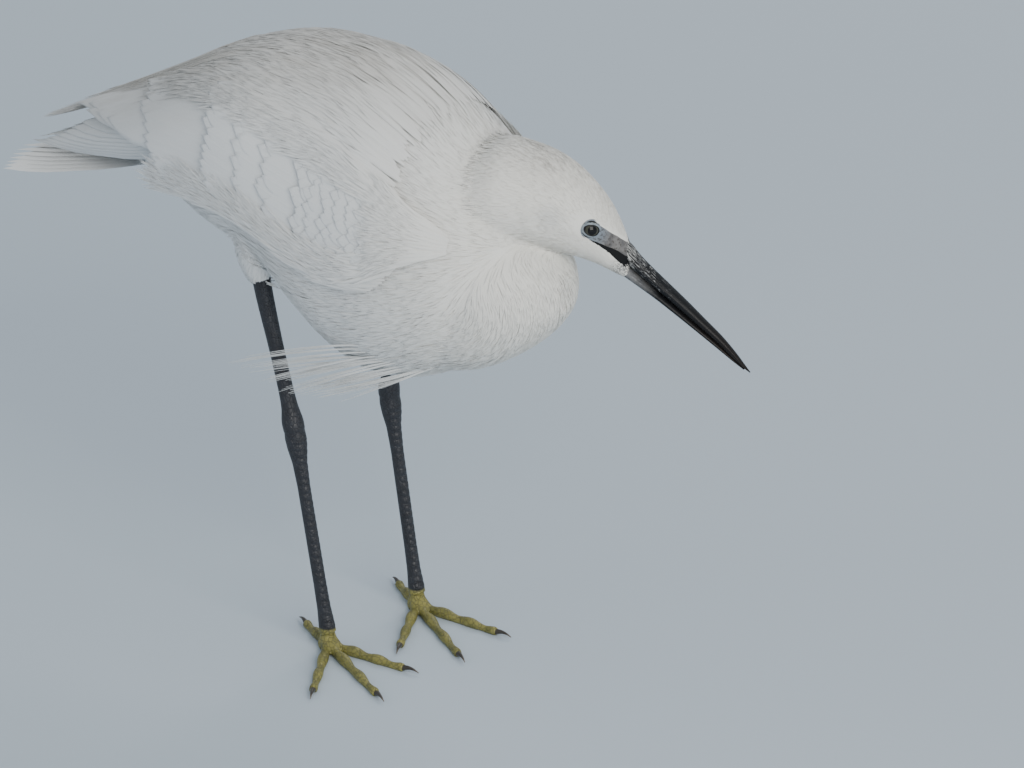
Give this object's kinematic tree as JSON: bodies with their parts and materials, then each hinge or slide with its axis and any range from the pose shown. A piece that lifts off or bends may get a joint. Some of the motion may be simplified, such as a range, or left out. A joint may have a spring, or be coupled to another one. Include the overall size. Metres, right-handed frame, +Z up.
{
  "type": "little egret",
  "caption": "Life-size still model of a little egret: white long-legged wading bird standing on both feet, leaning forward with folded neck and lowered bill.",
  "frame": {"origin": "middle of the box round the bird, on the floor it stands on", "axes": "+X the way the body faces, +Y the bird's left, +Z up"},
  "size_m": [0.3678, 0.1358, 0.2793],
  "materials": {
    "plumage": "soft white feathers, matt",
    "bill": "black horn with a low gloss",
    "leg_skin": "scaled black skin",
    "foot_skin": "scaled olive yellow skin",
    "claw": "dark horn",
    "eye": "wet gloss"
  },
  "bodies": {
    "root": {"claw_left_hind": "claw", "claw_left_inner": "claw", "claw_left_middle": "claw", "claw_left_outer": "claw", "claw_right_hind": "claw", "claw_right_inner": "claw", "claw_right_middle": "claw", "claw_right_outer": "claw", "eye_left": "eye", "eye_right": "eye", "foot_left": "foot_skin", "foot_right": "foot_skin", "head": "plumage", "lower_bill": "bill", "neck_lower": "plumage", "neck_upper": "plumage", "primaries_left": "plumage", "primaries_right": "plumage", "tail": "plumage", "tarsus_left": "leg_skin", "tarsus_right": "leg_skin", "thigh_left": "plumage", "thigh_right": "plumage", "tibia_left": "leg_skin", "tibia_right": "leg_skin", "torso": "plumage", "upper_bill": "bill", "wing_left": "plumage", "wing_right": "plumage"}
  },
  "joints": []
}
